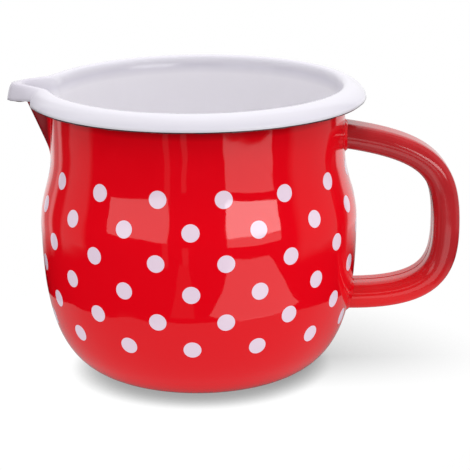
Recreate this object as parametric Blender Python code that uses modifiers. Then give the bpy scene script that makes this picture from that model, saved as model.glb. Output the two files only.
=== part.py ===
"""Enamelled steel melting pot: one drawn, bellied sheet with a pressed pouring
spout and a turned-down rim, a hollow strip handle welded on opposite the spout,
and the enamel coats that are fired on afterwards.

Frame: metres, +Z up, origin at the centre of the flat underside. The handle
points to +X and the spout to -X.
"""

from math import cos, pi, sin, sqrt

import bmesh
import bpy
from mathutils import Vector

MM = 0.001

# Driving dimensions, in millimetres. Radii and heights of the body are those of
# the middle of the steel sheet.
STEEL_T = 0.6
COAT_T = 0.3
GAP = 0.3                     # left between pieces that touch
SKIN = STEEL_T / 2 + GAP + COAT_T     # from the middle of the sheet to the face of a coat

BASE_FLAT_R = 24.0
BELLY_R = 55.1
BELLY_Z = 56.0
NECK_R = 50.8
NECK_Z = 77.0
NECK_TOP_Z = 98.0
CREST_R = 52.6
CREST_Z = 103.2
SKIRT_R = 57.9
SKIRT_Z = 99.9

# Rim, neck, belly and base join in curves; a pull is how far a control point stands off.
CREST_OUT_PULL = 1.9
CREST_IN_PULL = 1.4
SKIRT_PULL = (-1.5, 2.2)
NECK_TOP_PULL = 2.6
NECK_ABOVE = 4.0              # the neck stops being straight this far above NECK_Z
NECK_PULL = 6.0
BELLY_UP_PULL = 9.0
BELLY_DOWN_PULL = 38.5
BASE_PULL = 24.0

SPOUT_REACH = 11.4            # how far the crest is pushed out at the spout
SPOUT_SKIRT_REACH = 7.6
SPOUT_HALF_W = 13.5
SPOUT_NARROWING = 0.42        # half width lost per unit of height below the crest
SPOUT_LEAST_HALF_W = 4.0
SPOUT_START_Z = 80.0          # where the keel of the spout leaves the neck
SPOUT_SLOPE = 0.433           # keel, outward per unit of height
SPOUT_SOFTNESS = 6.0          # how gently the keel starts
SPOUT_LIFT = 0.9              # how far the crest rises at the spout
SPOUT_SKIRT_DIP = 1.4         # the skirt's share of that, taken off
SPOUT_LIFT_HALF_W = 24.0
SHOULDER = 1.8                # wide, shallow part of the push beside the spout
SHOULDER_HALF_W = 36.0

EDGE_BEAD_R = 0.5
EDGE_BEAD_AWAY = (0.56, -0.83)    # direction (r, z) from the skirt's edge

HANDLE_W = 16.5
HANDLE_T = 9.4
HANDLE_POWER = 2.6            # roundness of the section: 2 is an ellipse
HANDLE_STEEL_T = 1.0
HANDLE_SLIT = 2.4
HANDLE_TAPER = 0.93           # size of the section at its top end
HANDLE_TOP = (46.0, 85.9)     # (x, z) of the strip's middle, inside the neck
HANDLE_TOP_PULL = (35.2, -4.8)
HANDLE_MID = (87.9, 53.0)
HANDLE_MID_PULLS = (20.4, -17.9)
HANDLE_LOW = (46.0, 26.9)
HANDLE_LOW_PULL = (37.9, -2.5)
WELD_BEAD_R = 0.9

AROUND = 38                   # facets round the body
GATHER = 0.55                 # how strongly they crowd towards the spout
MERGE = 0.01                  # points nearer than this are one

COLLECTION = "melting_pot"


# ---------------------------------------------------------------- the scene

def clear_scene():
    for obj in list(bpy.data.objects):
        bpy.data.objects.remove(obj, do_unlink=True)


def collection(name):
    made = bpy.data.collections.new(name)
    bpy.context.scene.collection.children.link(made)
    return made


def finish(name, colour, roughness, metallic=0.0):
    made = bpy.data.materials.new(name)
    made.use_nodes = True
    shader = made.node_tree.nodes["Principled BSDF"]
    shader.inputs["Base Color"].default_value = (*colour, 1.0)
    shader.inputs["Roughness"].default_value = roughness
    shader.inputs["Metallic"].default_value = metallic
    return made


def as_mesh(obj):
    """Replace an object by a mesh object with its modifiers and bevel applied."""
    bpy.context.view_layer.update()
    graph = bpy.context.evaluated_depsgraph_get()
    mesh = bpy.data.meshes.new_from_object(obj.evaluated_get(graph), depsgraph=graph)
    folder, name = obj.users_collection[0], obj.name
    bpy.data.objects.remove(obj, do_unlink=True)
    made = bpy.data.objects.new(name, mesh)
    folder.objects.link(made)
    return made


def weld_doubles(obj):
    """Merge points that lie on each other and turn all faces outwards."""
    bm = bmesh.new()
    bm.from_mesh(obj.data)
    bmesh.ops.remove_doubles(bm, verts=bm.verts, dist=MERGE * MM)
    bmesh.ops.recalc_face_normals(bm, faces=bm.faces)
    bm.to_mesh(obj.data)
    bm.free()


def mesh_piece(name, curve, material):
    """A curve object made a closed mesh of its own."""
    obj = bpy.data.objects.new(name, curve)
    parts.objects.link(obj)
    obj = as_mesh(obj)
    obj.name = name
    weld_doubles(obj)
    obj.data.materials.clear()
    obj.data.materials.append(material)
    return obj


def make_cutter(obj):
    """Keep an object only as the cutter of a Boolean."""
    obj.hide_render = True
    obj.display_type = "WIRE"
    for folder in list(obj.users_collection):
        folder.objects.unlink(obj)
    cutters.objects.link(obj)
    return obj


def cut(obj, cutter):
    step = obj.modifiers.new("cut", "BOOLEAN")
    step.operation = "DIFFERENCE"
    step.object = cutter
    step.solver = "EXACT"


# ---------------------------------------------------------------- the body

def bezier(a, b, c, d, steps):
    """Points of a cubic curve, without its first one."""
    out = []
    for i in range(1, steps + 1):
        t = i / steps
        s = 1.0 - t
        weights = (s ** 3, 3 * s * s * t, 3 * s * t * t, t ** 3)
        out.append(tuple(
            sum(w * p[k] for w, p in zip(weights, (a, b, c, d))) for k in (0, 1)
        ))
    return out


def rim_profile():
    """(r, z) of the sheet's middle, from the skirt's edge over the crest to the neck."""
    skirt, crest, neck = (SKIRT_R, SKIRT_Z), (CREST_R, CREST_Z), (NECK_R, NECK_TOP_Z)
    points = [skirt]
    points += bezier(
        skirt, (SKIRT_R + SKIRT_PULL[0], SKIRT_Z + SKIRT_PULL[1]),
        (CREST_R + CREST_OUT_PULL, CREST_Z), crest, 2)
    points += bezier(
        crest, (CREST_R - CREST_IN_PULL, CREST_Z),
        (NECK_R, NECK_TOP_Z + NECK_TOP_PULL), neck, 3)
    return points


def wall_profile():
    """(r, z) of the sheet's middle, from below the rim to the centre of the base."""
    neck_foot, belly = (NECK_R, NECK_Z + NECK_ABOVE), (BELLY_R, BELLY_Z)
    points = [(NECK_R, (NECK_TOP_Z + neck_foot[1]) / 2), neck_foot]
    points += bezier(
        neck_foot, (NECK_R, NECK_Z - NECK_PULL),
        (BELLY_R, BELLY_Z + BELLY_UP_PULL), belly, 4)
    points += bezier(
        belly, (BELLY_R, BELLY_Z - BELLY_DOWN_PULL),
        (BASE_FLAT_R + BASE_PULL, SKIN), (BASE_FLAT_R, SKIN), 7)
    return points + [(0.0, SKIN)]


def turned(name, profile, folder):
    """An open surface turned about Z from a profile that runs down its outer side."""
    mesh = bpy.data.meshes.new(name)
    verts = [(r * MM, 0.0, z * MM) for r, z in profile]
    mesh.from_pydata(verts, [(i, i + 1) for i in range(len(verts) - 1)], [])
    obj = bpy.data.objects.new(name, mesh)
    folder.objects.link(obj)
    screw = obj.modifiers.new("turn", "SCREW")
    screw.steps = screw.render_steps = AROUND
    screw.use_merge_vertices = True
    screw.merge_threshold = MERGE * MM
    return as_mesh(obj)


def hump(y, half_width):
    """1 on the spout's middle plane, falling smoothly to 0 at half_width."""
    if abs(y) >= half_width:
        return 0.0
    return cos(pi * y / (2 * half_width)) ** 2


def spout_push(r, y, z):
    """(outward, upward) shift of a point of the sheet by the spout's press tool."""
    above = max(0.0, (z - NECK_TOP_Z) / (CREST_Z - NECK_TOP_Z))
    if r >= CREST_R:
        down = (r - CREST_R) / (SKIRT_R - CREST_R)
        reach = SPOUT_REACH + (SPOUT_SKIRT_REACH - SPOUT_REACH) * down
        half_width = SPOUT_HALF_W - down
        lift = SPOUT_LIFT * (1.0 - SPOUT_SKIRT_DIP * down)
    else:
        rise = z - SPOUT_START_Z
        reach = SPOUT_SLOPE * (rise + sqrt(rise * rise + SPOUT_SOFTNESS)) / 2
        half_width = max(SPOUT_LEAST_HALF_W, SPOUT_HALF_W - SPOUT_NARROWING * (CREST_Z - z))
        lift = SPOUT_LIFT * above
    shoulder = SHOULDER * above
    push = (reach - shoulder) * hump(y, half_width) + shoulder * hump(y, SHOULDER_HALF_W)
    return push, lift * hump(y, SPOUT_LIFT_HALF_W)


def press_spout(obj):
    """Crowd the facets towards -X and push the spout out of the neck and rim."""
    for vertex in obj.data.vertices:
        x, y, z = (c / MM for c in vertex.co)
        r = sqrt(x * x + y * y)
        if r < MERGE:
            continue
        turn = Vector((-x, y)).angle_signed(Vector((1.0, 0.0)))
        turn -= GATHER * sin(turn)
        x, y = -r * cos(turn), r * sin(turn)
        if x < 0 and z > SPOUT_START_Z - 8.0:
            push, lift = spout_push(r, y, z)
            x -= push
            z += lift
        vertex.co = Vector((x, y, z)) * MM


def shell(name, near, thickness, material, side):
    """A solid layer of the pressed sheet: it starts `near` from the sheet's middle,
    on the outside (side 1), on the inside (side -1) or across it (side 0)."""
    obj = turned(name, rim_profile() + wall_profile(), parts)
    press_spout(obj)
    weld_doubles(obj)
    belly = max(obj.data.polygons,
                key=lambda face: face.center.x - abs(face.center.z - BELLY_Z * MM))
    if belly.normal.x < 0:
        obj.data.flip_normals()
    obj.data.materials.append(material)
    solid = obj.modifiers.new("wall", "SOLIDIFY")
    solid.thickness = thickness * MM
    solid.offset = side * (2 * near / thickness + 1) if side else 0.0
    solid.use_even_offset = True
    obj.data.shade_smooth()
    return obj


def edge_bead(name, material):
    """The bare ground enamel that gathers in a bead along the skirt's cut edge."""
    beyond = GAP + EDGE_BEAD_R
    r = SKIRT_R + EDGE_BEAD_AWAY[0] * beyond
    z = SKIRT_Z + EDGE_BEAD_AWAY[1] * beyond
    guide = turned(name, [(r, z), (r, z / 2)], parts)
    press_spout(guide)
    top = [v.co.copy() for v in guide.data.vertices if v.co.z > 0.75 * z * MM]
    bpy.data.objects.remove(guide, do_unlink=True)

    path = bpy.data.curves.new(name, "CURVE")
    path.dimensions = "3D"
    path.bevel_depth = EDGE_BEAD_R * MM
    path.bevel_resolution = 1
    line = path.splines.new("POLY")
    line.points.add(len(top) - 1)
    for point, co in zip(line.points, top):
        point.co = (*co, 1.0)
    line.use_cyclic_u = True
    return mesh_piece(name, path, material)


# ---------------------------------------------------------------- the handle

def handle_path(steps=8):
    """(x, z) points down the middle of the handle, from the neck to the lower belly."""
    top, mid, low = HANDLE_TOP, HANDLE_MID, HANDLE_LOW
    points = [top]
    points += bezier(
        top, (top[0] + HANDLE_TOP_PULL[0], top[1] + HANDLE_TOP_PULL[1]),
        (mid[0], mid[1] + HANDLE_MID_PULLS[0]), mid, steps)
    points += bezier(
        mid, (mid[0], mid[1] + HANDLE_MID_PULLS[1]),
        (low[0] + HANDLE_LOW_PULL[0], low[1] + HANDLE_LOW_PULL[1]), low, steps)
    return points


def oval(width, thickness, steps, start=0.0, stop=2 * pi):
    """Points on a flat rounded section: (across the handle, through it)."""
    out = []
    for i in range(steps + 1):
        a = start + (stop - start) * i / steps
        c, s = cos(a), sin(a)
        scale = (abs(c) ** HANDLE_POWER + abs(s) ** HANDLE_POWER) ** (-1 / HANDLE_POWER)
        out.append((width / 2 * c * scale, thickness / 2 * s * scale))
    return out


def strip_section(inset, wall, steps=16):
    """Closed outline of a C: an oval wall with a slit on the finger side."""
    start = -pi / 2 + HANDLE_SLIT / HANDLE_W

    def ring(depth):
        return oval(HANDLE_W - 2 * depth, HANDLE_T - 2 * depth, steps, start, pi - start)

    return ring(inset) + list(reversed(ring(inset + wall)))


def swept(name, outline, folder):
    """An outline carried along the handle's path, with filled ends, smaller at the top."""
    section = bpy.data.curves.new(name + "_section", "CURVE")
    section.dimensions = "2D"
    line = section.splines.new("POLY")
    line.points.add(len(outline) - 1)
    for point, (across, through) in zip(line.points, outline):
        point.co = (across * MM, through * MM, 0.0, 1.0)
    line.use_cyclic_u = True
    section_obj = bpy.data.objects.new(name + "_section", section)
    folder.objects.link(section_obj)

    path = bpy.data.curves.new(name, "CURVE")
    path.dimensions = "3D"
    path.twist_mode = "MINIMUM"
    path.bevel_mode = "OBJECT"
    path.bevel_object = section_obj
    path.use_fill_caps = True
    line = path.splines.new("POLY")
    route = handle_path()
    line.points.add(len(route) - 1)
    for i, (x, z) in enumerate(route):
        line.points[i].co = (x * MM, 0.0, z * MM, 1.0)
        before_middle = max(0.0, 1.0 - 2.0 * i / (len(route) - 1))
        line.points[i].radius = 1.0 - (1.0 - HANDLE_TAPER) * before_middle
    obj = bpy.data.objects.new(name, path)
    folder.objects.link(obj)
    obj = as_mesh(obj)
    bpy.data.objects.remove(section_obj, do_unlink=True)
    weld_doubles(obj)
    obj.data.materials.clear()
    return obj


def body_block(beyond):
    """A solid of the neck, belly and base, `beyond` outside the sheet's middle."""
    block = [(r + beyond, z) for r, z in wall_profile()[:-1]]
    block = [(0.0, NECK_TOP_Z), (NECK_R + beyond, NECK_TOP_Z)] + block
    obj = turned("body_block", block + [(0.0, SKIN)], cutters)
    press_spout(obj)
    weld_doubles(obj)
    return make_cutter(obj)


def weld_bead(name, start, ahead, size, coat, material):
    """The enamelled weld bead round one end of the handle: `start` is the middle of
    the strip's end and `ahead` the next point of its path, both as (x, z); `size` is
    that of the section there."""
    stand_off = WELD_BEAD_R + GAP
    far_off = 40.0 * MM
    along = Vector((ahead[0] - start[0], 0.0, ahead[1] - start[1])).normalized()
    through = Vector((-along.z, 0.0, along.x))
    outline = oval(
        size * HANDLE_W + 2 * stand_off, size * HANDLE_T + 2 * stand_off, 20)[:-1]
    path = bpy.data.curves.new(name, "CURVE")
    path.dimensions = "3D"
    path.bevel_depth = WELD_BEAD_R * MM
    path.bevel_resolution = 1
    line = path.splines.new("POLY")
    line.points.add(len(outline) - 1)
    bpy.context.view_layer.update()
    graph = bpy.context.evaluated_depsgraph_get()
    wall = coat.evaluated_get(graph)
    for point, (across, out) in zip(line.points, outline):
        middle = Vector((start[0], across, start[1])) + through * out
        _, place, normal, _ = wall.ray_cast(middle * MM + along * far_off, -along)
        place += normal * stand_off * MM
        point.co = (*place, 1.0)
    line.use_cyclic_u = True
    return mesh_piece(name, path, material)


# ---------------------------------------------------------------- the pot

clear_scene()
parts = collection(COLLECTION)
cutters = collection("cutters")

steel = finish("steel", (0.32, 0.32, 0.34), 0.45, 1.0)
white = finish("white_enamel", (0.80, 0.78, 0.84), 0.12)
red = finish("red_enamel", (0.72, 0.004, 0.008), 0.10)
dark = finish("ground_enamel", (0.03, 0.03, 0.045), 0.35)

shell("steel_body", 0.0, STEEL_T, steel, 0)
shell("white_lining", STEEL_T / 2 + GAP, COAT_T, white, -1)
red_coat = shell("red_body_coat", STEEL_T / 2 + GAP, COAT_T, red, 1)
edge_bead("rim_edge_bead", dark)

route = handle_path()
weld_bead("upper_weld_bead", route[0], route[1], HANDLE_TAPER, red_coat, red)
weld_bead("lower_weld_bead", route[-1], route[-2], 1.0, red_coat, red)

strip = swept("handle_strip", strip_section(COAT_T + GAP, HANDLE_STEEL_T), parts)
strip.data.materials.append(steel)
cut(strip, body_block(STEEL_T / 2 + GAP))
handle_coat = swept("handle_coat", strip_section(0.0, COAT_T), parts)
handle_coat.data.materials.append(red)
cut(handle_coat, body_block(SKIN + GAP))

# The strip reaches the steel through two windows in the coat.
window_section = oval(HANDLE_W - 2 * COAT_T, HANDLE_T - 2 * COAT_T, 24)[:-1]
window = swept("window", window_section, cutters)
cut(red_coat, make_cutter(window))
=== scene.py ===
# %% [markdown]
# # An enamelled melting pot
#
# The pot is one drawn steel sheet: a bellied jug with a pouring spout pressed out of its
# neck, and a rim that is flared and turned down. A hollow strip handle is welded on
# opposite the spout. The whole pot is then dipped in enamel, which is glass: white
# inside and over the rim, red outside, with rings of white dots.
#
# The lesson keeps the engineering model as a fixed frame, and makes the surfaces that
# are seen around it: the skins of enamel, the dots, the seams and the small faults that
# firing leaves. Everything is in metres, with +Z up, the spout at -X and the handle
# at +X.

# %% Load the frame
from math import atan2, cos, hypot, pi, radians, sin, sqrt

import bmesh
import bpy
from mathutils import Matrix, Vector


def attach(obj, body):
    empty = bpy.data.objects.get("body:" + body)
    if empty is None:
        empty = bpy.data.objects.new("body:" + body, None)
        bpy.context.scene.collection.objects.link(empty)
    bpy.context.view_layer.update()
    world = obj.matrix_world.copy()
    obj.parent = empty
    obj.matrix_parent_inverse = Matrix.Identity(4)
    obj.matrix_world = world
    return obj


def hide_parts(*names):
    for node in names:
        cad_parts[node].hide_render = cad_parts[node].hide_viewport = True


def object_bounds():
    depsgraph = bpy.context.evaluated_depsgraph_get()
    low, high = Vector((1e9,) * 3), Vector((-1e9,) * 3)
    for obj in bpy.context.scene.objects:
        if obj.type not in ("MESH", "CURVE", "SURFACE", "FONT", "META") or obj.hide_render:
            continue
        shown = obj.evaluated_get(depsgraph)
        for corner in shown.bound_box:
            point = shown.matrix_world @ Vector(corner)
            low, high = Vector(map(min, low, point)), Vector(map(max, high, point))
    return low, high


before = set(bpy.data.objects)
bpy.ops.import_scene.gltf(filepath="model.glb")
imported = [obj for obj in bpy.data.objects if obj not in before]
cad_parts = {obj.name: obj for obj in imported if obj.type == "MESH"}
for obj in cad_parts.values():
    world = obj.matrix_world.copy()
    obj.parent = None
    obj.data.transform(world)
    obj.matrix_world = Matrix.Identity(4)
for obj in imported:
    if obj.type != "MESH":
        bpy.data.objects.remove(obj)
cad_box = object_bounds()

MM = 0.001
scene = bpy.context.scene
size = cad_box[1] - cad_box[0]
print("frame:", sorted(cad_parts), "size in mm:", [round(v / MM, 1) for v in size])

# %% [markdown]
# ## The camera and the studio
#
# The camera comes first, so that every later choice can be looked at. It stands 65 cm in
# front of the pot and 23 cm up, and looks down at about 16 degrees. A long lens keeps the
# far and near side of the rim nearly the same size, as in a catalogue.

# %% Camera
CAMERA_PLACE = Vector((0.0, -0.651, 0.2332))
CAMERA_DOWN = radians(15.85)
CAMERA_RIGHT = radians(1.12)
CAMERA_ROLL = radians(-0.45)
LENS_MM = 145.0


def aim(place, down, right, roll):
    """Matrix of a camera at place that looks along +Y, turned right and then down."""
    ahead = Vector((sin(right) * cos(down), cos(right) * cos(down), -sin(down)))
    level = Vector((cos(right), -sin(right), 0.0))
    upright = level.cross(ahead)
    side = cos(roll) * level + sin(roll) * upright
    up = -sin(roll) * level + cos(roll) * upright
    return Matrix.Translation(place) @ Matrix((side, up, -ahead)).transposed().to_4x4()


lens = bpy.data.cameras.new("camera")
lens.lens = LENS_MM
lens.sensor_width = 36.0
lens.clip_start = 0.05
camera = bpy.data.objects.new("camera", lens)
scene.collection.objects.link(camera)
camera.matrix_world = aim(CAMERA_PLACE, CAMERA_DOWN, CAMERA_RIGHT, CAMERA_ROLL)
scene.camera = camera
print("camera", tuple(round(v, 3) for v in camera.location), "lens", LENS_MM, "mm")

# %% [markdown]
# The world and every finish are built from nodes. A few short functions make the kinds of
# node that keep coming back; each takes numbers or sockets, and gives back a socket.

# %% Helpers for node trees
def feed(tree, value, socket):
    """Set a socket to a number, or link another socket to it."""
    if isinstance(value, (int, float)):
        socket.default_value = value
    else:
        tree.links.new(value, socket)


def math_node(tree, operation, *values):
    made = tree.nodes.new("ShaderNodeMath")
    made.operation = operation
    for socket, value in zip(made.inputs, values):
        feed(tree, value, socket)
    return made.outputs[0]


def mix_node(tree, factor, a, b):
    made = tree.nodes.new("ShaderNodeMix")
    for at, value in ((0, factor), (2, a), (3, b)):
        feed(tree, value, made.inputs[at])
    return made.outputs[0]


def mix_colour(tree, factor, a, b):
    """Mix two colours, each three numbers or a socket."""
    made = tree.nodes.new("ShaderNodeMix")
    made.data_type = "RGBA"
    feed(tree, factor, made.inputs[0])
    for at, value in ((6, a), (7, b)):
        if isinstance(value, tuple):
            made.inputs[at].default_value = (*value, 1.0)
        else:
            tree.links.new(value, made.inputs[at])
    return made.outputs[2]


def map_range(tree, value, start, end, low=0.0, high=1.0):
    """Run from low to high while value goes from start to end."""
    made = tree.nodes.new("ShaderNodeMapRange")
    names = ("Value", "From Min", "From Max", "To Min", "To Max")
    for name, setting in zip(names, (value, start, end, low, high)):
        feed(tree, setting, made.inputs[name])
    return made.outputs["Result"]


def grey_ramp(tree, value, stops, low, high):
    """A grey that runs through the stops while value goes from low to high."""
    made = tree.nodes.new("ShaderNodeValToRGB")
    scaled = math_node(tree, "MULTIPLY_ADD", value, 1 / (high - low), -low / (high - low))
    feed(tree, scaled, made.inputs[0])
    marks = made.color_ramp.elements
    for i, (at, level) in enumerate(stops):
        place = (at - low) / (high - low)
        mark = marks[i] if i < 2 else marks.new(place)
        mark.position, mark.color = place, (level, level, level, 1.0)
    return made.outputs[0]


def along(tree, axis):
    """The object coordinate along X, Y or Z, in metres."""
    place = tree.nodes.new("ShaderNodeTexCoord")
    parts = tree.nodes.new("ShaderNodeSeparateXYZ")
    tree.links.new(place.outputs["Object"], parts.inputs[0])
    return parts.outputs[axis]


def noise(tree, scale, detail=2.0, roughness=0.5):
    """A noise texture on object coordinates; scale is the number of lumps per metre."""
    place = tree.nodes.new("ShaderNodeTexCoord")
    made = tree.nodes.new("ShaderNodeTexNoise")
    made.inputs["Scale"].default_value = scale
    made.inputs["Detail"].default_value = detail
    made.inputs["Roughness"].default_value = roughness
    tree.links.new(place.outputs["Object"], made.inputs["Vector"])
    return made


# %% [markdown]
# Enamel is a mirror at a glancing angle, so the studio is what the pot looks like. A pale
# tent lights it evenly, a little more from the handle's side. What it mirrors is another
# matter: a white backdrop behind it, grey tent walls at both sides, and a dark room in
# front. The world answers mirror rays with those, by compass direction, and all other
# rays with the tent.

# %% World
TENT_LEFT, TENT_RIGHT = 0.68, 0.97
# height of a direction, from straight down to straight up, and the tent's light there
TENT = ((-1.0, 1.20), (-0.1, 1.16), (0.1, 0.90), (0.5, 0.92), (0.8, 2.3), (1.0, 2.75))
ROOM = 0.003
BACKDROP, WALL_LEFT, WALL_RIGHT = 0.92, 0.36, 0.32
# bearing in degrees to the right of the camera, and what is mirrored from there on
SURROUNDINGS = (
    (-180, BACKDROP), (-153, BACKDROP), (-149, 0.35), (-140, 0.3), (-137, 0.75),
    (-133, 0.75), (-130, 0.03), (-119, 0.03), (-116, WALL_LEFT), (-93, WALL_LEFT),
    (-88, ROOM), (72, ROOM), (80, WALL_RIGHT), (124, WALL_RIGHT), (127, 0.03),
    (133, 0.03), (137, BACKDROP), (180, BACKDROP))
FLOOR = ((-180, 0.4), (-64, 0.32), (-48, 0.03), (56, 0.03), (66, 0.32), (180, 0.4))
# how much of the sides and of the floor is mirrored, by the height of a direction
SIDES_SHARE = ((-0.30, 0.0), (-0.26, 1.0))
FLOOR_SHARE = ((-0.58, 1.0), (-0.48, 0.0))


def studio_world():
    world = bpy.data.worlds.new("studio")
    scene.world = world
    world.use_nodes = True
    tree = world.node_tree
    way = tree.nodes.new("ShaderNodeTexCoord")
    parts = tree.nodes.new("ShaderNodeSeparateXYZ")
    path = tree.nodes.new("ShaderNodeLightPath")
    tree.links.new(way.outputs["Generated"], parts.inputs[0])
    east, north, up = (parts.outputs[axis] for axis in "XYZ")
    turn = math_node(tree, "ARCTAN2", east, math_node(tree, "MULTIPLY", north, -1.0))
    bearing = math_node(tree, "MULTIPLY", turn, 180 / pi)
    mirrored = math_node(
        tree, "ADD",
        math_node(tree, "MULTIPLY", grey_ramp(tree, bearing, SURROUNDINGS, -180, 180),
                  grey_ramp(tree, up, SIDES_SHARE, -1, 1)),
        math_node(tree, "MULTIPLY", grey_ramp(tree, bearing, FLOOR, -180, 180),
                  grey_ramp(tree, up, FLOOR_SHARE, -1, 1)))
    tent = math_node(
        tree, "MULTIPLY", grey_ramp(tree, up, TENT, -1, 1),
        grey_ramp(tree, east, ((-1, TENT_LEFT), (1, TENT_RIGHT)), -1, 1))
    light = mix_node(tree, path.outputs["Is Glossy Ray"], tent, mirrored)
    light = mix_node(tree, path.outputs["Is Camera Ray"], light, 1.0)
    tree.links.new(light, tree.nodes["Background"].inputs["Color"])


studio_world()
scene.view_settings.view_transform = "Standard"
print("surroundings:", len(SURROUNDINGS), "stops")

# %% [markdown]
# The dark front is broken by soft boxes and by low cards, which show in the enamel as
# pale panels with sharp edges. They are lamps that only mirror rays see, because the
# tent already gives the light. Each is placed by the bearings of its edges, as seen from
# the pot.

# %% Soft boxes and cards
BOX_AWAY = 1.0                    # metres from the middle of the pot
POT_MIDDLE = Vector((0.0, 0.0, 0.065))
# name, bearings from and to, heights from and to in degrees, radiance
SOFT_BOXES = (
    ("box_right", (19, 59), (6, 18), 4.6),
    ("box_left", (-69, -21), (3, 17), 1.5),
    ("strip_left", (-26, -22), (-18, 3), 0.20),
    ("strip_middle", (-12, -8), (-17, -2), 0.25),
)
# name, middle, (width, length), direction it faces, radiance
CARDS = (
    ("card_neck", (0.079, -0.124, 0.0645), (0.085, 0.017), (-0.54, 0.84, 0.0), 1.25),
    ("card_table_right", (0.098, -0.150, 0.001), (0.112, 0.150), (0, 0, 1), 1.15),
    ("card_table_left", (-0.030, -0.168, 0.001), (0.026, 0.115), (0, 0, 1), 0.15),
)


def mirror_lamp(name, place, facing, shape, radiance, upright):
    """A rectangular lamp that only shows in reflections."""
    lamp = bpy.data.lights.new(name, "AREA")
    lamp.shape = "RECTANGLE"
    lamp.size, lamp.size_y = shape
    lamp.energy = radiance * pi * shape[0] * shape[1]
    obj = bpy.data.objects.new(name, lamp)
    scene.collection.objects.link(obj)
    obj.visible_camera = obj.visible_diffuse = obj.visible_transmission = False
    side = facing.cross(upright).normalized()
    obj.matrix_world = Matrix((side, side.cross(facing), -facing)).transposed().to_4x4()
    obj.location = place


for name, (near, far), (low, high), radiance in SOFT_BOXES:
    right, up = radians((near + far) / 2), radians((low + high) / 2)
    facing = Vector((-sin(right) * cos(up), cos(right) * cos(up), -sin(up)))
    shape = tuple(
        2 * BOX_AWAY * sin(radians(b - a) / 2) for a, b in ((near, far), (low, high)))
    middle = POT_MIDDLE - facing * BOX_AWAY
    mirror_lamp(name, middle, facing, shape, radiance, Vector((0, 0, 1)))
for name, place, shape, facing, radiance in CARDS:
    facing = Vector(facing).normalized()
    away = Vector((place[0], place[1], 0.0)).normalized()
    upright = Vector((0, 0, 1)) if facing.z < 0.5 else away
    mirror_lamp(name, Vector(place), facing, shape, radiance, upright)
print("lamps:", [lamp[0] for lamp in SOFT_BOXES + CARDS])

# %% [markdown]
# ## Working by hand, in code
#
# Operators act on whatever is selected, so each step starts from nothing selected. These
# few helpers stand for the mouse: pick faces or points by where they are, then press the
# key.

# %% Helpers for modelling
def deselect():
    if bpy.context.object and bpy.context.object.mode != "OBJECT":
        bpy.ops.object.mode_set(mode="OBJECT")
    bpy.ops.object.select_all(action="DESELECT")


def activate(obj):
    deselect()
    obj.select_set(True)
    bpy.context.view_layer.objects.active = obj


def pick(kind, test):
    """In edit mode, select only the verts, edges or faces for which test is true."""
    obj = bpy.context.object
    bpy.ops.mesh.select_mode(type={"verts": "VERT", "edges": "EDGE", "faces": "FACE"}[kind])
    bpy.ops.mesh.select_all(action="DESELECT")
    grid = bmesh.from_edit_mesh(obj.data)
    count = 0
    for item in getattr(grid, kind):
        if test(item):
            item.select_set(True)
            count += 1
    grid.select_flush_mode()
    bmesh.update_edit_mesh(obj.data)
    return count


def apply_modifier(obj, kind, **values):
    activate(obj)
    step = obj.modifiers.new(kind.lower(), kind)
    for key, value in values.items():
        setattr(step, key, value)
    bpy.ops.object.modifier_apply(modifier=step.name)


def settle(obj):
    """Put the object's place, turn and scale into its mesh."""
    activate(obj)
    bpy.ops.object.transform_apply(location=True, rotation=True, scale=True)


def count(obj):
    return f"{obj.name}: {len(obj.data.vertices)} points, {len(obj.data.polygons)} faces"


# %% [markdown]
# ## The shape of the sheet
#
# The pot's outline is a flat base, a round belly and a straight neck. It is described as
# the middle of the steel sheet, in the radii and heights that a maker would put on the
# drawing, because every skin of enamel follows that sheet at its own distance.

# %% Outline of the sheet
SHEET_HALF = 0.3                  # half the thickness of the steel
SKIN_IN, SKIN_OUT = 0.6, 0.9      # an enamel skin lies this far from the sheet's middle
BASE_FLAT_R = 24.0
BELLY_R, BELLY_Z = 55.1, 56.0
NECK_R, NECK_Z, NECK_TOP_Z = 50.8, 77.0, 98.0
CREST_R, CREST_Z = 52.6, 103.2
SKIRT_R, SKIRT_Z = 57.9, 99.9
# The parts of the outline join in curves; a pull is how far a control point stands off.
CREST_OUT_PULL, CREST_IN_PULL, SKIRT_PULL, NECK_TOP_PULL = 1.9, 1.4, (-1.5, 2.2), 2.6
NECK_ABOVE, NECK_PULL = 4.0, 6.0
BELLY_UP_PULL, BELLY_DOWN_PULL, BASE_PULL = 9.0, 38.5, 24.0
AROUND = 176                      # faces round the body
GATHER = 0.55                     # how strongly they crowd towards the spout
MERGE = 0.01                      # points nearer than this are one


def bezier(a, b, c, d, steps):
    """Points of a cubic curve, without its first one."""
    out = []
    for i in range(1, steps + 1):
        t = i / steps
        s = 1.0 - t
        weights = (s ** 3, 3 * s * s * t, 3 * s * t * t, t ** 3)
        out.append(tuple(
            sum(w * p[k] for w, p in zip(weights, (a, b, c, d))) for k in (0, 1)))
    return out


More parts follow.
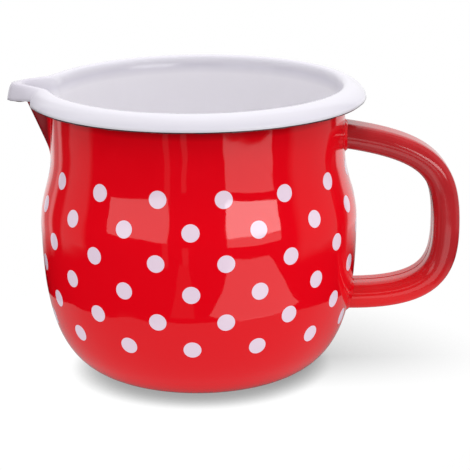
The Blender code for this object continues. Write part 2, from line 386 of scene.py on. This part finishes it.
def sheet_outline():
    """(r, z) from the skirt's edge over the rim and down to the middle of the base."""
    skirt, crest = (SKIRT_R, SKIRT_Z), (CREST_R, CREST_Z)
    neck_top, neck = (NECK_R, NECK_TOP_Z), (NECK_R, NECK_Z + NECK_ABOVE)
    belly, base = (BELLY_R, BELLY_Z), (BASE_FLAT_R, SKIN_OUT)
    out = [skirt]
    out += bezier(skirt, (SKIRT_R + SKIRT_PULL[0], SKIRT_Z + SKIRT_PULL[1]),
                  (CREST_R + CREST_OUT_PULL, CREST_Z), crest, 7)
    out += bezier(crest, (CREST_R - CREST_IN_PULL, CREST_Z),
                  (NECK_R, NECK_TOP_Z + NECK_TOP_PULL), neck_top, 8)
    out += [(NECK_R, NECK_TOP_Z - 2.0 * i) for i in range(1, 9)]
    out += bezier(neck, (NECK_R, NECK_Z - NECK_PULL), (BELLY_R, BELLY_Z + BELLY_UP_PULL),
                  belly, 14)
    out += bezier(belly, (BELLY_R, BELLY_Z - BELLY_DOWN_PULL),
                  (BASE_FLAT_R + BASE_PULL, SKIN_OUT), base, 26)
    out += [(BASE_FLAT_R * (1 - i / 4), SKIN_OUT) for i in range(1, 5)]
    return out


outline = sheet_outline()
print("outline:", len(outline), "points, belly", 2 * (BELLY_R + SKIN_OUT), "mm across")

# %% [markdown]
# The spout is pressed: a punch pushes the neck and rim outwards from inside. Its push is
# written as a smooth hump, widest at the rim and fading to nothing down the neck, so that
# steel, lining and coat can all be pressed alike. Where the punch drags the turned-down
# skirt round two tight corners, the metal has nowhere to go, and crumples a little.

# %% The press that makes the spout
SPOUT_REACH, SPOUT_SKIRT_REACH = 11.4, 7.6          # push at the crest and the skirt
SPOUT_HALF_W, SPOUT_LEAST_HALF_W, SPOUT_NARROWING = 13.5, 4.0, 0.42
SPOUT_START_Z, SPOUT_SLOPE, SPOUT_SOFTNESS = 80.0, 0.433, 6.0     # run of the keel
SPOUT_LIFT, SPOUT_SKIRT_DIP, SPOUT_LIFT_HALF_W = 0.9, 1.4, 24.0
SHOULDER, SHOULDER_HALF_W = 1.8, 36.0               # wide, shallow part of the push
PRESS_BELOW = 8.0                                   # pressing begins below SPOUT_START_Z
CRUMPLE_Y, CRUMPLE_FADE = 11.0, 4.5     # the skirt is pulled up most this far from the keel
CRUMPLE_LIFT, CRUMPLE_IN, CRUMPLE_IN_W = 1.35, 0.75, 2.2


def hump(y, half_width):
    """1 at y = 0, falling smoothly to 0 at half_width."""
    return cos(pi * y / (2 * half_width)) ** 2 if abs(y) < half_width else 0.0


def spout_push(r, y, z):
    """(outward, upward) shift in mm of a point of the sheet."""
    above = max(0.0, (z - NECK_TOP_Z) / (CREST_Z - NECK_TOP_Z))
    if r >= CREST_R:
        down = (r - CREST_R) / (SKIRT_R - CREST_R)
        reach = SPOUT_REACH + (SPOUT_SKIRT_REACH - SPOUT_REACH) * down
        half_width = SPOUT_HALF_W - down
        lift = SPOUT_LIFT * (1.0 - SPOUT_SKIRT_DIP * down)
    else:
        rise = z - SPOUT_START_Z
        reach = SPOUT_SLOPE * (rise + sqrt(rise * rise + SPOUT_SOFTNESS)) / 2
        half_width = max(SPOUT_LEAST_HALF_W, SPOUT_HALF_W - SPOUT_NARROWING * (CREST_Z - z))
        lift = SPOUT_LIFT * above
    shoulder = SHOULDER * above
    push = (reach - shoulder) * hump(y, half_width) + shoulder * hump(y, SHOULDER_HALF_W)
    return push, lift * hump(y, SPOUT_LIFT_HALF_W)


def crumple(r, y):
    """(inward, upward) shift of the skirt beside the spout, where the metal gathers."""
    down = max(0.0, (r - CREST_R) / (SKIRT_R - CREST_R))
    beyond = abs(y) - CRUMPLE_Y
    rise = abs(y) / CRUMPLE_Y if beyond < 0 else max(0.0, 1.0 - beyond / CRUMPLE_FADE)
    fold = max(0.0, 1.0 - abs(beyond - 1.0) / CRUMPLE_IN_W)
    return CRUMPLE_IN * down * fold, CRUMPLE_LIFT * down * down * rise


def press_spout(obj):
    """Crowd the points towards the spout, then push it out of the neck and rim."""
    for point in obj.data.vertices:
        x, y, z = (v / MM for v in point.co)
        r = hypot(x, y)
        if r < 1e-6:
            continue
        turn = atan2(y, -x)
        turn -= GATHER * sin(turn)
        x, y = -r * cos(turn), r * sin(turn)
        if x < 0 and z > SPOUT_START_Z - PRESS_BELOW:
            push, lift = spout_push(r, y, z)
            inward, upward = crumple(r, y)
            x, z = x - push + inward, z + lift + upward
        point.co = Vector((x, y, z)) * MM


# %% [markdown]
# ## Turning a skin
#
# A turned shape starts as one point. The point is extruded from step to step down the
# outline, and the line is spun once round the axis. Spin leaves a seam and can leave the
# faces inside out, so doubles are merged and normals recalculated before the wall gets
# its thickness.

# %% Spin a line into a surface
def spin_round():
    """In edit mode, spin the mesh once round Z, close the seam and fix the normals."""
    bpy.ops.mesh.select_all(action="SELECT")
    bpy.ops.mesh.spin(steps=AROUND, angle=2 * pi, center=(0, 0, 0), axis=(0, 0, 1))
    bpy.ops.mesh.select_all(action="SELECT")
    bpy.ops.mesh.remove_doubles(threshold=MERGE * MM)
    bpy.ops.mesh.normals_make_consistent(inside=False)


def spun_line(name, points):
    """An open surface of revolution about Z from (r, z) points in mm."""
    deselect()
    first = Vector((points[0][0], 0.0, points[0][1])) * MM
    bpy.ops.mesh.primitive_plane_add(size=MM, location=first)
    obj = bpy.context.object
    obj.name = obj.data.name = name
    bpy.ops.object.mode_set(mode="EDIT")
    bpy.ops.mesh.select_all(action="SELECT")
    bpy.ops.mesh.merge(type="CENTER")
    bpy.ops.object.mode_set(mode="OBJECT")
    settle(obj)
    bpy.ops.object.mode_set(mode="EDIT")
    bpy.ops.mesh.select_mode(type="VERT")
    bpy.ops.mesh.select_all(action="SELECT")
    for (r0, z0), (r1, z1) in zip(points, points[1:]):
        bpy.ops.mesh.extrude_region_move(
            TRANSFORM_OT_translate={"value": ((r1 - r0) * MM, 0.0, (z1 - z0) * MM)})
    spin_round()
    bpy.ops.object.mode_set(mode="OBJECT")
    return obj


def outward_at_belly(obj):
    """Whether the face at the widest place looks away from the axis."""
    belly = max(obj.data.polygons, key=lambda f: f.center.x - abs(f.center.z - BELLY_Z * MM))
    return belly.normal.x > 0


def turn_skin(name, near, far, side, points=outline):
    """A skin of enamel between near and far (mm) from the sheet's middle, outside for
    side 1 and inside for side -1, pressed with the spout."""
    obj = spun_line(name, points)
    press_spout(obj)
    activate(obj)
    if not outward_at_belly(obj):
        bpy.ops.object.mode_set(mode="EDIT")
        bpy.ops.mesh.select_all(action="SELECT")
        bpy.ops.mesh.flip_normals()
        bpy.ops.object.mode_set(mode="OBJECT")
    thickness = far - near
    apply_modifier(obj, "SOLIDIFY", thickness=thickness * MM,
                   offset=side * (2 * near / thickness + 1), use_even_offset=True)
    bpy.ops.object.shade_smooth()
    return obj


# %% [markdown]
# ## The finishes
#
# Enamel is coloured glass on metal. Its colour is deep and even, its surface is nearly a
# mirror, and what gives it away is that the mirror is never quite true: firing leaves a
# fine orange peel and a slow waviness. One node group makes that relief for every enamel
# on the pot.

# %% Node group: relief of fired enamel
# lumps per metre, and height in metres
PEEL_SCALE, PEEL_HEIGHT = 900.0, 0.0000022
WAVE_SCALE, WAVE_HEIGHT = 48.0, 0.00024
CLOUD_SCALE = 130.0


def new_group(name, inputs, outputs):
    """A shader node group with named float inputs, and named outputs by type."""
    group = bpy.data.node_groups.new(name, "ShaderNodeTree")
    for label, default in inputs:
        socket = group.interface.new_socket(
            label, in_out="INPUT", socket_type="NodeSocketFloat")
        socket.default_value = default
    for label, kind in outputs:
        group.interface.new_socket(label, in_out="OUTPUT", socket_type=kind)
    return group, group.nodes.new("NodeGroupInput"), group.nodes.new("NodeGroupOutput")


def enamel_relief_group():
    group, start, end = new_group(
        "enamel_relief",
        [("Peel", 1.0), ("Wave", 1.0)],
        [("Height", "NodeSocketFloat"), ("Cloud", "NodeSocketFloat")])
    peel = noise(group, PEEL_SCALE, 1.0)
    wave = noise(group, WAVE_SCALE, 1.6)
    cloud = noise(group, CLOUD_SCALE, 3.0)
    fine = math_node(group, "MULTIPLY", peel.outputs["Fac"], start.outputs["Peel"])
    slow = math_node(group, "MULTIPLY", wave.outputs["Fac"], start.outputs["Wave"])
    fine = math_node(group, "MULTIPLY", fine, PEEL_HEIGHT)
    slow = math_node(group, "MULTIPLY", slow, WAVE_HEIGHT)
    group.links.new(math_node(group, "ADD", fine, slow), end.inputs["Height"])
    group.links.new(cloud.outputs["Fac"], end.inputs["Cloud"])
    return group


relief_group = enamel_relief_group()
print("group:", relief_group.name)

# %% [markdown]
# Each enamel is then its own material: the shared relief, a colour that thins and pools
# by a few per cent, and a low roughness that the same clouds vary. The colour also turns
# with the place on the pot, and these turns are painted light and shade: painted shade
# up under the skirt, on the spout's red keel and on its white beak, painted light that
# lightens the handle's lower arm, and a paler white inside as painted light. The
# handle's red is the body's red darkened as painted shade.

# %% Enamel materials
GLASS_IOR = 1.52
# another colour, an axis, and where along it the colour begins and has taken over; the
# colours paint light and shade onto the enamel by place
RED_TURNS = (
    ((0.24, 0.012, 0.016), "X", -0.0514, -0.0526),      # painted shade on the spout's keel
    ((0.77, 0.0014, 0.008), "Z", 0.0850, 0.0790),       # back to the body's red below the spout, where the painted keel shade ends
    ((0.26, 0.0012, 0.004), "Z", 0.0945, 0.0982))       # painted shade up under the skirt
HANDLE_TURNS = (((0.80, 0.007, 0.011), "Z", 0.040, 0.026),)     # painted light on the handle's lower arm
WHITE_TURNS = (
    ((0.66, 0.64, 0.70), "Z", 0.1005, 0.1022),          # crest of the rim
    ((0.87, 0.850, 0.89), "Z", 0.1008, 0.0975),         # painted light: a paler white inside
    ((0.57, 0.54, 0.61), "X", -0.050, -0.060))          # painted shade on the spout's beak


def enamel(name, deep, thin, gloss, peel=1.0, wave=1.0, turns=()):
    """deep and thin are the colours where the enamel is thick and where it is thin;
    gloss is (least, most) roughness; turns lists further colours by place, in metres, which
    paint light and shade onto the enamel."""
    made = bpy.data.materials.new(name)
    made.use_nodes = True
    tree = made.node_tree
    shader = tree.nodes["Principled BSDF"]
    relief = tree.nodes.new("ShaderNodeGroup")
    relief.node_tree = relief_group
    relief.inputs["Peel"].default_value = peel
    relief.inputs["Wave"].default_value = wave
    colour = mix_colour(tree, relief.outputs["Cloud"], deep, thin)
    for other, axis, start, end in turns:
        share = map_range(tree, along(tree, axis), start, end)
        colour = mix_colour(tree, share, colour, other)
    tree.links.new(colour, shader.inputs["Base Color"])
    rough = map_range(tree, relief.outputs["Cloud"], 0.0, 1.0, *gloss)
    tree.links.new(rough, shader.inputs["Roughness"])
    bump = tree.nodes.new("ShaderNodeBump")
    bump.inputs["Distance"].default_value = 1.0
    tree.links.new(relief.outputs["Height"], bump.inputs["Height"])
    tree.links.new(bump.outputs["Normal"], shader.inputs["Normal"])
    shader.inputs["IOR"].default_value = GLASS_IOR
    return made


def paint(obj, material):
    """Give obj one material."""
    obj.data.materials.clear()
    obj.data.materials.append(material)


red = enamel("red_enamel", (0.74, 0.0010, 0.007), (0.80, 0.0018, 0.009), (0.03, 0.07),
             wave=1.6, turns=RED_TURNS)
# The handle's red is the body's red darkened as painted shade, and lightened on the lower
# arm as painted light.
handle_red = enamel("handle_enamel", (0.37, 0.014, 0.018), (0.49, 0.018, 0.023),
                    (0.09, 0.16), peel=2.0, turns=HANDLE_TURNS)
white = enamel("white_enamel", (0.64, 0.62, 0.69), (0.67, 0.65, 0.72), (0.14, 0.22),
               turns=WHITE_TURNS)
dot_white = enamel("dot_enamel", (0.78, 0.62, 0.75), (0.84, 0.68, 0.80), (0.06, 0.12),
                   peel=1.5)
dark = enamel("ground_enamel", (0.030, 0.008, 0.012), (0.10, 0.028, 0.034), (0.15, 0.4),
              peel=4.0)
print("finishes:", [m.name for m in (red, handle_red, white, dot_white, dark)])

# %% [markdown]
# The steel is all but hidden by the enamel. It is bare pickled sheet: grey, rough, and
# streaked along the way it was rolled. The pot's sheet is turned and pressed again, finely
# enough to stay under the coats, and the handle's strip keeps its engineering shape.

# %% Steel material
STEEL_DARK, STEEL_PALE = (0.22, 0.22, 0.24), (0.42, 0.42, 0.44)
STEEL_GLOSS = (0.35, 0.6)
STREAK_SCALE, STREAK_STRETCH, STREAK_HEIGHT = 160.0, 12.0, 0.00002


def pickled_steel():
    made = bpy.data.materials.new("pickled_steel")
    made.use_nodes = True
    tree = made.node_tree
    shader = tree.nodes["Principled BSDF"]
    shader.inputs["Metallic"].default_value = 1.0
    streaks = noise(tree, STREAK_SCALE, 6.0, 0.6)
    stretch = tree.nodes.new("ShaderNodeMapping")
    stretch.inputs["Scale"].default_value = (1.0, 1.0, STREAK_STRETCH)
    tree.links.new(streaks.inputs["Vector"].links[0].from_socket, stretch.inputs["Vector"])
    tree.links.new(stretch.outputs["Vector"], streaks.inputs["Vector"])
    tone = mix_colour(tree, streaks.outputs["Fac"], STEEL_DARK, STEEL_PALE)
    tree.links.new(tone, shader.inputs["Base Color"])
    rough = map_range(tree, streaks.outputs["Fac"], 0.0, 1.0, *STEEL_GLOSS)
    tree.links.new(rough, shader.inputs["Roughness"])
    bump = tree.nodes.new("ShaderNodeBump")
    bump.inputs["Distance"].default_value = STREAK_HEIGHT
    tree.links.new(streaks.outputs["Fac"], bump.inputs["Height"])
    tree.links.new(bump.outputs["Normal"], shader.inputs["Normal"])
    return made


steel = pickled_steel()
strip = bpy.data.objects["handle_strip"]
for place in strip.material_slots:
    place.material = steel
sheet = turn_skin("drawn_sheet", -SHEET_HALF, SHEET_HALF, 1)
paint(sheet, steel)
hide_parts("steel_body")
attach(sheet, "root")
print(count(sheet), "and", strip.name, "with", len(strip.material_slots), "slots")

# %% [markdown]
# ## The red coat
#
# The outside skin runs from under the skirt down to the base.

# %% Red body coat
coat = turn_skin("red_coat", SKIN_IN, SKIN_OUT, 1)
paint(coat, red)
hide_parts("red_body_coat")
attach(coat, "root")
print(count(coat))

# %% [markdown]
# ## The white lining
#
# The lining covers the inside, runs over the crest and ends at the skirt's edge.

# %% White lining
SKIRT_DROP = 0.9                  # how far the enamel runs down past the sheet's edge
skirt_edge = (SKIRT_R + 0.3 * SKIRT_DROP, SKIRT_Z - SKIRT_DROP)
lining = turn_skin("white_inside", SKIN_IN, SKIN_OUT, -1, [skirt_edge] + outline)
paint(lining, white)
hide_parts("white_lining")
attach(lining, "root")
print(count(lining))

# %% [markdown]
# ## The bare edge
#
# White enamel won't hold on the sharp cut edge of the skirt. What shows there is the
# ground enamel, a dark first coat, in a thin uneven line. It is a small circle spun round
# the axis, and a cloud texture makes it ragged.

# %% Dark bead along the skirt's edge
EDGE_R, EDGE_OUT, EDGE_DOWN = 0.27, 0.50, 0.98
RAGGED_SCALE, RAGGED_DEPTH = 0.0028, 0.7
deselect()
bpy.ops.mesh.primitive_circle_add(
    vertices=10, radius=EDGE_R * MM, rotation=(pi / 2, 0, 0),
    location=((SKIRT_R + EDGE_OUT) * MM, 0.0, (SKIRT_Z - EDGE_DOWN) * MM))
edge_bead = bpy.context.object
edge_bead.name = "bare_edge"
settle(edge_bead)
bpy.ops.object.mode_set(mode="EDIT")
spin_round()
bpy.ops.object.mode_set(mode="OBJECT")
press_spout(edge_bead)
ragged = bpy.data.textures.new("ragged", "CLOUDS")
ragged.noise_scale = RAGGED_SCALE
apply_modifier(edge_bead, "DISPLACE", texture=ragged, strength=RAGGED_DEPTH * MM,
               mid_level=0.5, texture_coords="LOCAL")
bpy.ops.object.shade_smooth()
paint(edge_bead, dark)
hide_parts("rim_edge_bead")
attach(edge_bead, "root")
print(count(edge_bead))

# %% [markdown]
# ## The handle
#
# The handle is a strip rolled to a hollow flat tube and bent to a loop. Its section is a
# plane with its corners bevelled round. The section is extruded from step to step along
# the loop, and turned a little at each step. A view to the finger side shows the seam
# where the strip's two edges meet: a groove that the enamel hasn't quite filled.

# %% Path of the handle
HANDLE_W, HANDLE_T = 16.5, 9.4
HANDLE_TAPER = 0.93               # size of the section at the neck
HANDLE_TOP, HANDLE_MID, HANDLE_LOW = (46.0, 85.9), (87.9, 53.0), (46.0, 26.9)
TOP_PULL, MID_PULLS, LOW_PULL = (-6.7, -4.8), (20.4, -17.9), (-4.0, -2.5)
SECTION_ROUND = 4.3
COAT_T = 0.3
SEAM_HALF_W, SEAM_EDGE, SEAM_DEPTH = 0.4, 0.15, 0.35


def handle_points(steps=30):
    """(x, z) points in mm along the middle of the tube, from the neck to the belly."""
    top, mid, low = HANDLE_TOP, HANDLE_MID, HANDLE_LOW
    upper = bezier(top, (mid[0] + TOP_PULL[0], top[1] + TOP_PULL[1]),
                   (mid[0], mid[1] + MID_PULLS[0]), mid, steps)
    lower = bezier(mid, (mid[0], mid[1] + MID_PULLS[1]),
                   (mid[0] + LOW_PULL[0], low[1] + LOW_PULL[1]), low, steps)
    return [top] + upper + lower


route, scales = [], []
whole = handle_points()
for i, place in enumerate(whole):
    if place[0] > NECK_R - 1.0:
        above_middle = max(0.0, 1.0 - 2.0 * i / (len(whole) - 1))
        route.append(place)
        scales.append(1.0 - (1.0 - HANDLE_TAPER) * above_middle)
headings = []
for before, after in zip([route[0]] + route, route[1:] + [route[-1]]):
    headings.append(atan2(after[1] - before[1], after[0] - before[0]))
print("handle:", len(route), "stations, reach", round(max(p[0] for p in route), 1), "mm")

# %% Extrude the section along the path
def rounded_section(name, centre, turn, scale):
    """The tube's section as a face at centre, turned about Y, left in edit mode."""
    deselect()
    bpy.ops.mesh.primitive_plane_add(size=1.0)
    obj = bpy.context.object
    obj.name = name
    obj.scale = (scale * HANDLE_T * MM, scale * HANDLE_W * MM, 1.0)
    obj.rotation_euler = (0.0, turn, 0.0)
    obj.location = centre
    settle(obj)
    bpy.ops.object.mode_set(mode="EDIT")
    bpy.ops.mesh.select_all(action="SELECT")
    bpy.ops.mesh.bevel(offset=scale * SECTION_ROUND * MM, segments=8, profile=0.5,
                       affect="VERTICES")
    return obj


def drop_face():
    """In edit mode, keep the outline and delete what fills it."""
    bpy.ops.mesh.select_all(action="SELECT")
    bpy.ops.mesh.delete(type="ONLY_FACE")


def divide_flat_sides():
    """In edit mode, cut the section's long straight edges into short ones."""
    flat_sides = pick("edges", lambda e: e.calc_length() > SECTION_ROUND * MM)
    bpy.ops.mesh.subdivide(number_cuts=8)
    return flat_sides


def turn_section(centre, angle):
    """Turn the selection about Y at centre by angle, positive from +X towards +Z."""
    bpy.ops.transform.rotate(value=angle, orient_axis="Y", orient_type="GLOBAL",
                             center_override=centre)


stations = [Vector((x, 0.0, z)) * MM for x, z in route]
handle = rounded_section("handle_skin", stations[0], pi / 2 - headings[0], scales[0])
drop_face()
flat_sides = divide_flat_sides()
bpy.ops.mesh.select_mode(type="EDGE")
bpy.ops.mesh.select_all(action="SELECT")
for i in range(1, len(stations)):
    here, grow = stations[i], scales[i] / scales[i - 1]
    bpy.ops.mesh.extrude_region_move(
        TRANSFORM_OT_translate={"value": here - stations[i - 1]})
    turn_section(here, headings[i] - headings[i - 1])
    bpy.ops.transform.resize(value=(grow, grow, grow), center_override=here)
bpy.ops.mesh.select_all(action="SELECT")
bpy.ops.mesh.normals_make_consistent(inside=False)
bpy.ops.object.mode_set(mode="OBJECT")
print(count(handle), "flat sides:", flat_sides)

# %% [markdown]
# The two open ends have to meet a curved wall. Each point of the end rings is slid along
# the tube until it touches the red coat. The seam is then pressed in: the narrow faces in
# the middle of the finger side are moved towards the tube's own middle, and the tube gets
# a wall as thin as the enamel.

# %% Fit the ends, press the seam and give the tube its wall
SLIDE_FROM = 0.03                 # metres back along the tube


def slide_to_coat(point, heading):
    """Where a line through point along heading meets the red coat."""
    hit, place, _, _ = coat.ray_cast(point - heading * SLIDE_FROM, heading)
    return place if hit else point


def ring_points(obj, station):
    """The mesh's points that belong to one station of the route."""
    around = len(obj.data.vertices) // len(route)
    return obj.data.vertices[station * around:(station + 1) * around]


into_top = -Vector((cos(headings[0]), 0.0, sin(headings[0])))
into_low = Vector((cos(headings[-1]), 0.0, sin(headings[-1])))
for station, heading in ((0, into_top), (len(route) - 1, into_low)):
    for point in ring_points(handle, station):
        point.co = slide_to_coat(point.co, heading)

middle = sum(stations, Vector()) / len(stations)
activate(handle)
bpy.ops.object.mode_set(mode="EDIT")
seam = pick("faces", lambda f: abs(f.calc_center_median().y) < SEAM_HALF_W * MM
            and f.normal.dot(middle - f.calc_center_median()) > 0)
bpy.ops.mesh.inset(thickness=SEAM_EDGE * MM, use_boundary=False)
bpy.ops.transform.shrink_fatten(value=-SEAM_DEPTH * MM)
bpy.ops.object.mode_set(mode="OBJECT")
apply_modifier(handle, "SOLIDIFY", thickness=COAT_T * MM, offset=-1.0)
bpy.ops.object.shade_smooth_by_angle(angle=radians(50))
paint(handle, handle_red)
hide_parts("handle_coat")
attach(handle, "root")
print(count(handle), "seam faces:", seam)

# %% [markdown]
# ## The welded joints
#
# At each end the weld and the enamel that gathers on it make a low rounded ridge. It is
# the handle's section again, drawn outwards over the coat in a few steps: each step is a
# little wider and a little nearer to the wall.

# %% Ridges of enamel at the joints
# how far each step stands out from the tube, and how high above the coat, in mm
RIDGE = ((0.02, 0.95), (0.12, 0.9), (0.3, 0.75), (0.5, 0.5), (0.75, 0.22), (1.1, 0.03))
RIDGE_BACK, RIDGE_WALL = 4.0, 0.25


def joint_ridge(name, start, heading, scale, node):
    """A ridge round one end, where the section has this scale; heading points from the
    handle into the wall."""
    centre = start - heading * RIDGE_BACK * MM
    ridge = rounded_section(name, centre, atan2(heading.x, heading.z), scale)
    divide_flat_sides()
    drop_face()
    bpy.ops.mesh.select_all(action="SELECT")
    for _ in RIDGE[1:]:
        bpy.ops.mesh.extrude_region_move()
    bpy.ops.object.mode_set(mode="OBJECT")
    around = len(ridge.data.vertices) // len(RIDGE)
    across = Vector((0.0, 1.0, 0.0))
    through = heading.cross(across)
    for k, (spread, height) in enumerate(RIDGE):
        for point in ridge.data.vertices[k * around:(k + 1) * around]:
            y, t = (point.co - centre).dot(across), (point.co - centre).dot(through)
            flat = scale * (HANDLE_W / 2 - SECTION_ROUND) * MM
            out = Vector((y - max(-flat, min(flat, y)), t)).normalized()
            moved = point.co + (across * out.x + through * out.y) * spread * MM
            point.co = slide_to_coat(moved, heading) - heading * height * MM
    activate(ridge)
    bpy.ops.object.mode_set(mode="EDIT")
    bpy.ops.mesh.select_all(action="SELECT")
    bpy.ops.mesh.normals_make_consistent(inside=False)
    bpy.ops.object.mode_set(mode="OBJECT")
    apply_modifier(ridge, "SOLIDIFY", thickness=RIDGE_WALL * MM, offset=-1.0)
    bpy.ops.object.shade_smooth()
    paint(ridge, red)
    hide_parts(node)
    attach(ridge, "root")
    print(count(ridge))


joint_ridge("upper_joint_ridge", stations[0], into_top, scales[0], "upper_weld_bead")
joint_ridge("lower_joint_ridge", stations[-1], into_low, scales[-1], "lower_weld_bead")

# %% [markdown]
# ## The dots
#
# Six rings of fifteen white dots are fired on, each ring turned by half a step from the
# one above. A dot is a small disc with three insets, laid on the coat. One is modelled
# and the rest are copies, and each copy is wrapped onto the belly where it lies, so that
# it bends with the wall.

# %% Model one dot and lay out the rings
DOT_R, DOT_RISE, DOT_T = 3.0, 0.05, 0.09
DOT_INSETS = (0.12, 0.9, 0.9)
DOTS_AROUND = 15
HANDLE_COVERS = (13.0, 36.0)      # no dots within this of its middle and below this height
DOT_ROWS = (75.0, 64.6, 54.1, 43.6, 33.5, 23.6)      # heights in mm
DOT_TURN = radians(-3.05)                            # from the front, towards the handle


def model_dot():
    deselect()
    bpy.ops.mesh.primitive_circle_add(vertices=28, radius=DOT_R * MM, fill_type="NGON")
    dot = bpy.context.object
    bpy.ops.object.mode_set(mode="EDIT")
    bpy.ops.mesh.select_all(action="SELECT")
    for thickness in DOT_INSETS:
        bpy.ops.mesh.inset(thickness=thickness * MM)
    bpy.ops.object.mode_set(mode="OBJECT")
    return dot


def dot_places():
    """(point on the coat, normal) for every dot that the handle doesn't cover."""
    step = 2 * pi / DOTS_AROUND
    half_width, top = (v * MM for v in HANDLE_COVERS)
    places = []
    for row, height in enumerate(DOT_ROWS):
        for k in range(DOTS_AROUND):
            turn = DOT_TURN + step * (k + (0.5 if row % 2 == 0 else 0.0))
            out = Vector((sin(turn), -cos(turn), 0.0))
            start = Vector((0.0, 0.0, height * MM)) + out * 0.1
            hit, place, normal, _ = coat.ray_cast(start, -out)
            under_handle = place.x > 0 and abs(place.y) < half_width and height * MM < top
            if hit and not under_handle:
                places.append((place, normal))
    return places


pattern = model_dot()
copies = []
for place, normal in dot_places():
    copy = bpy.data.objects.new("dot", pattern.data.copy())
    scene.collection.objects.link(copy)
    lifted = Matrix.Translation(place + normal * MM)
    copy.matrix_world = lifted @ normal.to_track_quat("Z", "Y").to_matrix().to_4x4()
    copies.append(copy)
bpy.data.objects.remove(pattern)
for copy in copies:
    apply_modifier(copy, "SHRINKWRAP", target=coat, wrap_method="PROJECT",
                   wrap_mode="ABOVE_SURFACE", offset=DOT_RISE * MM, use_project_z=True,
                   use_negative_direction=True, use_positive_direction=False)
    settle(copy)
deselect()
for copy in copies:
    copy.select_set(True)
bpy.context.view_layer.objects.active = copies[0]
bpy.ops.object.join()
dots = bpy.context.object
dots.name = "white_dots"
apply_modifier(dots, "SOLIDIFY", thickness=DOT_T * MM, offset=-1.0)
bpy.ops.object.shade_smooth_by_angle(angle=radians(40))
paint(dots, dot_white)
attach(dots, "root")
print(count(dots))

# %% [markdown]
# ## The table
#
# It is a plain round top, and isn't part of the object. It shines evenly, and darkens
# where the pot stands over it.

# %% Table
TABLE_R = 0.108
TABLE_SEEN, TABLE_MIRRORED, TABLE_GIVEN = 1.02, 0.4, 1.05
SHADE_SAMPLES = 12
# reach in metres, share of open sky at which the shade ends, and how dark it gets
CLOSE_SHADE = (0.010, 0.64, 0.36)
WIDE_SHADE = (0.060, 0.94, 0.45)
WIDE_FROM_X, WIDE_FROM_Y = (0.0, 0.045), (-0.030, 0.005)     # the wide shade fades in


def shade_under(tree, reach, opened, least):
    """Shade that things within reach throw on the table."""
    shade = tree.nodes.new("ShaderNodeAmbientOcclusion")
    shade.samples = SHADE_SAMPLES
    shade.inputs["Distance"].default_value = reach
    return map_range(tree, shade.outputs["AO"], 0.10, opened, least, 1.0)


def table_white():
    """White that only darkens where something stands over it. It is dimmer in a mirror
    than to the eye, and a wider shade lies on the handle's side."""
    made = bpy.data.materials.new("table_white")
    made.use_nodes = True
    tree = made.node_tree
    tree.nodes.remove(tree.nodes["Principled BSDF"])
    glow = tree.nodes.new("ShaderNodeEmission")
    path = tree.nodes.new("ShaderNodeLightPath")
    share = math_node(tree, "MULTIPLY", map_range(tree, along(tree, "X"), *WIDE_FROM_X),
                      map_range(tree, along(tree, "Y"), *WIDE_FROM_Y))
    wide = mix_node(tree, share, 1.0, shade_under(tree, *WIDE_SHADE))
    shade = math_node(tree, "MULTIPLY", shade_under(tree, *CLOSE_SHADE), wide)
    level = mix_node(tree, path.outputs["Is Camera Ray"], TABLE_GIVEN, TABLE_SEEN)
    level = mix_node(tree, path.outputs["Is Glossy Ray"], level, TABLE_MIRRORED)
    feed(tree, math_node(tree, "MULTIPLY", level, shade), glow.inputs["Strength"])
    tree.links.new(glow.outputs[0], tree.nodes["Material Output"].inputs["Surface"])
    return made


deselect()
bpy.ops.mesh.primitive_cylinder_add(
    vertices=128, radius=TABLE_R, depth=0.01, location=(0.0, 0.0, -0.005))
table = bpy.context.object
table.name = "table"
settle(table)
table.data.materials.append(table_white())
print("table", 2 * TABLE_R, "m across")
